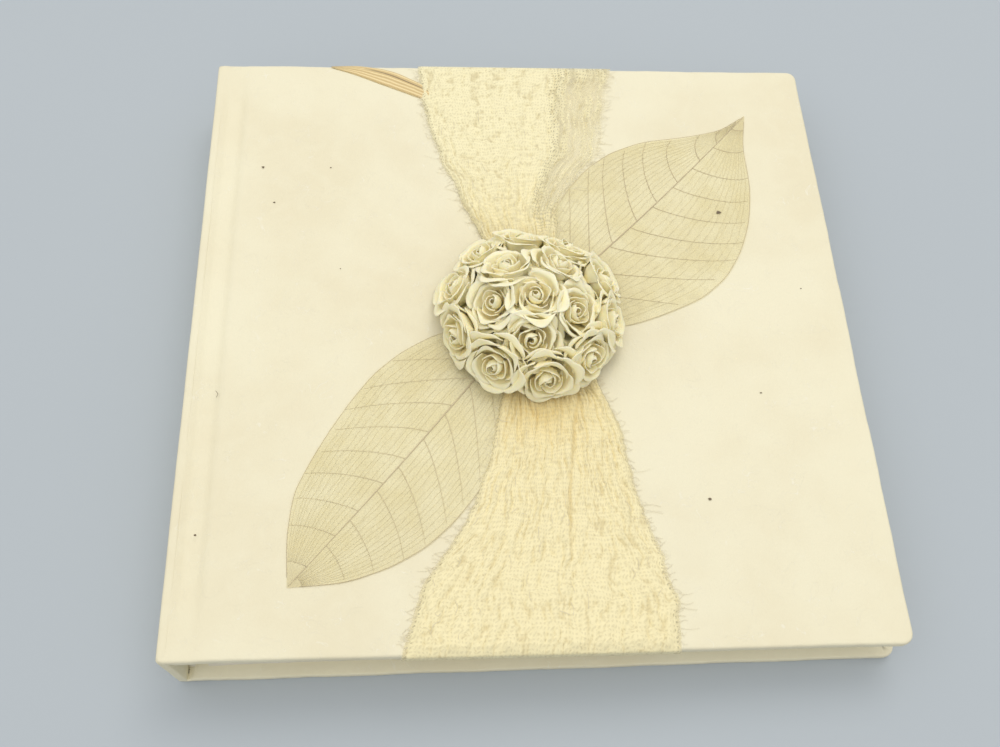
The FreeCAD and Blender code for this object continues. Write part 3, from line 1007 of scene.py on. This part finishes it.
def add_skeleton_leaves(blade, vein):
    left = [0, 10, 17, 22.3, 26, 27.8, 26.4, 20.8, 11, 2.6, 0]
    right = [0, 17, 26.5, 32, 36.5, 37.3, 34.5, 29, 20.5, 8, 0]
    upper = LeafShape((86.9, 87.8), -1.5, left, right, 0.34)
    add_leaf("upper", upper, True, blade, vein, seed=41, pale=0.15)
    left = [0, 11, 18, 21.5, 23.4, 24.6, 24.8, 23.3, 19, 12, 0]
    right = [0, 13, 20.6, 25, 26.9, 26.3, 24.7, 22.3, 19, 11, 0]
    lower = LeafShape((-74.2, -89.5), 1.0, left, right, 0.30)
    add_leaf("lower", lower, False, blade, vein, seed=43, pale=0.5)


# ---- raffia and flecks


def add_raffia(material):
    upper = [(-68, 109.6), (-57, 109.8), (-46, 107.6), (-38, 103.6), (-30, 99.0)]
    lower = [(-68, 109.0), (-60, 106.0), (-50, 101.5), (-40, 97.0), (-30, 92.6)]
    rows, columns = 50, 15
    across, along = flat_grid(np.linspace(0, 1, columns), np.linspace(0, 1, rows))
    top, bottom = (np.repeat(curve_through(p, rows), columns, axis=0) for p in (upper, lower))
    flat = bottom * (1 - across)[:, None] + top * across[:, None]
    ribs = 0.10 * np.sin(across * 16 + noise_at(xyz(*flat.T), 9.0, 51) * 2)
    crown = 0.45 * np.sin(math.pi * across) * smooth(along, 0.0, 0.25)
    z = 0.16 + crown + ribs * smooth(along, 0.05, 0.3)
    low = np.full(len(z), 0.04)
    points, faces = sheet_with_rim(flat[:, 0], flat[:, 1], low, z, rows, columns)
    line = np.abs(across - (0.78 - 0.10 * along))
    streak = np.exp(-((line / 0.05) ** 2)) * smooth(along, 0.15, 0.4)
    values = {"across": np.tile(across, 2), "streak": np.tile(streak, 2)}
    points = to_cover(points)
    strand = make_mesh("raffia_leaf_strand", points, faces, material, "front_cover", values)
    stands_for(strand, "raffia_strand", "raffia")


# Each fleck as X, Y and its radius.
FLECKS = [(-90.5, 62.4, 0.55), (-66.7, 62.4, 0.3), (-85.7, 47.2, 0.4), (54.2, -64.2, 0.5)]
FLECKS += [(75.9, -27.8, 0.35), (-101.9, -73.0, 0.4), (96.0, 12.0, 0.25), (-62.0, 20.0, 0.22)]
FLECKS += [(-12.0, -93.4, 0.4), (27.0, -104.0, 0.4), (71.2, 43.5, 0.85)]


def add_flecks(material):
    """Bits of bark in the pulp: flat lumps bedded in the paper."""
    chance = random.Random(3)
    soup = Soup()
    for x, y, size in FLECKS:
        on_sash = y < -90 and x > -35
        on_leaf = x > 60 and y > 40
        z = 0.9 if on_sash else 0.55 if on_leaf else 0.10
        rings, sides = 3, 9
        points = [(x, y, z + 0.12)]
        wobble = [chance.uniform(0.75, 1.25) for _ in range(sides)]
        for k in range(1, rings + 1):
            for m in range(sides):
                a = 2 * math.pi * m / sides
                r = size * k / rings * wobble[m]
                high = z + 0.12 * (1 - (k / rings) ** 2)
                points.append((x + r * math.cos(a), y + 0.75 * r * math.sin(a), high))
        faces = [(0, 1 + m, 1 + (m + 1) % sides) for m in range(sides)]
        for k in range(rings - 1):
            for m in range(sides):
                a, b = 1 + k * sides + m, 1 + k * sides + (m + 1) % sides
                faces.append((a, a + sides, b + sides, b))
        soup.add(points, faces)
    hair = curve_through([(-99.8, -25.6, 0.1), (-99.1, -26.6, 0.14), (-99.4, -27.9, 0.1)], 9)
    soup.add(*tube(hair, 0.07, 4))
    soup.make("bark_flecks", material)


# ---- roses


def petal(chance, profile, centre, half_angle, ruffle, overlap, point, layer):
    """One petal round +Z whose middle line follows a profile of radius and height."""
    columns, rows = 21, 17
    u, v = flat_grid(np.linspace(-1, 1, columns), np.linspace(0, 1, rows))
    phase = [chance.uniform(0, 6.28) for _ in range(4)]
    top = 1 - 0.40 * np.abs(u) ** 2.2 + point * 0.05 * np.exp(-((u / 0.22) ** 2))
    w = v * (top + 0.02 * np.sin(5.5 * u + phase[0]) + 0.012 * np.sin(11 * u + phase[1]))
    fine = curve_through(profile, 81)
    radius = np.interp(w, np.linspace(0, 1, 81), fine[:, 0])
    height = np.interp(w, np.linspace(0, 1, 81), fine[:, 1])
    spread = half_angle * (0.42 + 0.58 * np.sin(np.clip(w, 0, 1) * math.pi * 0.60))
    angle = centre + u * spread
    wave = np.sin(3.6 * u + phase[2]) + 0.6 * np.sin(7.4 * u + phase[3])
    radius = radius + ruffle * wave * w**2 + overlap * u * (0.3 + 0.7 * w)
    radius = radius + point * np.exp(-((u / 0.26) ** 2)) * smooth(w, 0.72, 1.0)
    height = height + ruffle * 0.5 * np.cos(4.6 * u + phase[1]) * w**2
    middle = xyz(radius * np.cos(angle), radius * np.sin(angle), height)
    crumple = noise_at(middle, 1.7, chance.uniform(0, 50)) * 0.15 * (0.3 + w)
    grid = middle.reshape(rows, columns, 3)
    normal = np.cross(np.gradient(grid, axis=1), np.gradient(grid, axis=0))
    normal = unit(normal).reshape(-1, 3)
    thick = 0.15 * (1 - 0.3 * w)
    sides = [middle + normal * (crumple + side * thick)[:, None] for side in (1, -1)]
    edge = np.maximum(w / (top + 0.03), smooth(np.abs(u), 0.84, 1.0) * smooth(w, 0.3, 0.6))
    rim = np.clip(np.tile(edge, 2), 0, 1)
    depth = np.tile(np.clip(1.05 - w, 0, 1) * layer, 2)
    return np.concatenate(sides), closed_sheet_faces(rows, columns), rim, depth


# Each layer of a rose: how many petals, the middle line of one as radius and height from its
# foot to its rim, half its angle, its waviness, how far it tucks under the next, how pointed
# its rim is, and how warm its foot is.
ROSE_LAYERS = [
    (1, [(0.3, -4.0), (1.2, -2.4), (1.2, -0.9), (0.35, 0.2)], 175, 0.06, 0.20, 0.0, 0.8),
    (2, [(0.8, -5.0), (2.0, -3.2), (2.4, -1.2), (1.5, 0.4)], 105, 0.16, 0.55, 0.2, 0.8),
    (3, [(1.2, -5.6), (3.2, -3.8), (3.9, -1.7), (4.0, -0.2)], 76, 0.26, 0.75, 0.3, 0.9),
    (4, [(1.6, -6.6), (4.7, -4.6), (5.8, -2.4), (6.2, -1), (7.1, -0.9)], 62, 0.3, 0.75, 0.5, 0.8),
    (5, [(2, -8), (6, -5.4), (7.4, -3.2), (8, -1.9), (9.6, -1.9)], 50, 0.42, 0.6, 0.45, 0.5),
    (5, [(2, -10), (6.6, -7.6), (8.3, -5.2), (9.2, -4.1), (10.6, -4.6)], 47, 0.46, 0.5, 0.35, 0.3),
]
ROSES_CENTRE = (BOUQUET[0] + 0.8, BOUQUET[1] + 1.0, 0)
# The outer roses behind the dome are glued in more upright than the rest.
BACK_AZIMUTH, BACK_FACING = 95, ((50, 90), (0.66, 1.0))


def add_rose(node, polar, azimuth, distance, seed, material):
    chance = random.Random(seed)
    uniform = chance.uniform
    soup = Soup()
    size = uniform(0.97, 1.07)
    for count, profile, half, ruffle, overlap, point, layer in ROSE_LAYERS:
        start = uniform(0, 360)
        for k in range(count):
            centre = math.radians(start + 360 * k / count + uniform(-8, 8))
            loose = 0.35 + 0.09 * profile[-1][0]
            wide, high = 1 + uniform(-0.09, 0.09), uniform(-loose, loose)
            own = []
            for i, (r, z) in enumerate(profile):
                own.append((r * (1 + (wide - 1) * i / 3), z + high * i / 3))
            half_angle = math.radians(half * uniform(0.92, 1.08))
            form = chance, own, centre, half_angle, ruffle, overlap, point, layer
            points, faces, rim, depth = petal(*form)
            soup.add(points, faces, rim=rim, depth=depth)
    a = math.radians(azimuth + uniform(-2.5, 2.5))
    b = math.radians(polar + uniform(-4, 4))
    spin = Matrix.Rotation(uniform(0, 6.28), 3, "Z")
    lean = Matrix.Rotation(math.radians(uniform(-10, 10)), 3, "X")
    facing = b * (np.interp(abs(azimuth - BACK_AZIMUTH), *BACK_FACING) if polar > 50 else 1)
    turn = Matrix.Rotation(a, 3, "Z") @ Matrix.Rotation(facing, 3, "Y") @ lean @ spin
    tip = Matrix.Rotation(a, 3, "Z") @ Matrix.Rotation(b, 3, "Y") @ Vector((0, 0, distance))

    def placed(points):
        out = points * size @ np.array(turn).T + np.array(tip) + ROSES_CENTRE
        floor = 1.05 + 0.25 * np.abs(noise_at(out, 2.0, seed))
        out[:, 2] = np.where(out[:, 2] < floor, floor + (out[:, 2] - floor) * 0.04, out[:, 2])
        return to_cover(out)

    stands_for(soup.make(f"paper_{node}", material, placed), node, "rose_paper")


INNER_ROSES = (-26, -95, -168, 128, 52)
OUTER_ROSES = (26, -10, -46, -84, -122, -160, 163, 129, 95, 60.5)
# Each ring: its polar angle, its distance, its first seed and its azimuths.
ROSE_RINGS = {"inner": (38, 26.0, 200, INNER_ROSES), "outer": (68, 30.2, 250, OUTER_ROSES)}


def add_bouquet(material):
    add_rose("rose_apex", 5, -95, 25.6, 101, material)
    for ring, (polar, distance, seed, azimuths) in ROSE_RINGS.items():
        for k, azimuth in enumerate(azimuths, 1):
            add_rose(f"rose_{ring}_{k:02d}", polar, azimuth, distance, seed + k * 7, material)


# ---- the scene


# Each paper: its name, its light and dark pulp, its fibres and how strongly they show.
PAPERS = [
    ("cover_mulberry_paper", (0.86, 0.815, 0.625), (0.82, 0.76, 0.565), (0.90, 0.87, 0.74), 0.6),
    ("endpaper_sheet", (0.85, 0.815, 0.70), (0.82, 0.77, 0.65), (0.89, 0.865, 0.79), 0.5),
    # The leaf paper is the endpaper made a little darker, as painted shade for the leaf edges seen
    # in the gap under the front cover.
    ("leaf_sheet", (0.83, 0.80, 0.69), (0.79, 0.75, 0.63), (0.88, 0.86, 0.78), 0.5),
]
BOARD_COLOURS = ((0.30, 0.27, 0.22), (0.42, 0.38, 0.31))
FOAM_COLOURS = ((0.66, 0.63, 0.54), (0.78, 0.76, 0.68))
THREAD_COLOURS = ((0.72, 0.65, 0.47), (0.86, 0.81, 0.66))
FLECK_COLOURS = ((0.10, 0.075, 0.05), (0.26, 0.20, 0.13))
PLAIN = [
    ("millboard", BOARD_COLOURS, 1.2, 4.0, 0.9, (0.5, 3.0, 0.1)),
    ("cut_foam", FOAM_COLOURS, 1.0, 3.0, 0.9, (0.7, 3.0, 0.2)),
    ("gauze_thread", THREAD_COLOURS, 1.5, 3.0, 0.9, (0.3, 2.0, 0.05)),
    ("bark_fleck", FLECK_COLOURS, 0.4, 2.0, 0.85, (0.2, 2.0, 0.05)),
]


def dress_node(node, material):
    """Gives a kept CAD node its material."""
    piece = frame["nodes"][node]
    piece.data.materials.clear()
    piece.data.materials.append(material)


def main():
    add_camera()
    add_studio()
    cover_paper, end_paper, leaf_paper = (paper_material(*paper) for paper in PAPERS)
    millboard, foam, gauze_thread, fleck = (plain_material(*plain) for plain in PLAIN)
    mull = woven_material("mull", (0.80, 0.77, 0.67), (0.70, 0.66, 0.55), 1.1)
    linen = woven_material("linen_thread", (0.78, 0.75, 0.66), (0.66, 0.62, 0.52), 0.3)
    for node in ("front_board", "back_board", "spine_board"):
        dress_node(node, millboard)
    dress_node("spine_lining", mull)
    dress_node("sewing_thread", linen)
    dress_node("rose_dome", foam)
    add_covers(cover_paper)
    add_pastedown("front_pastedown", "front_cover", end_paper, to_cover, 61, BOARD_LEFT)
    add_pastedown("back_pastedown", "case", end_paper, turned_over, 62)
    add_leaves(leaf_paper, end_paper)
    add_sash(gauze_material(), gauze_thread)
    add_skeleton_leaves(leaf_material(), vein_material())
    add_raffia(raffia_material())
    add_flecks(fleck)
    add_bouquet(petal_material())


main()
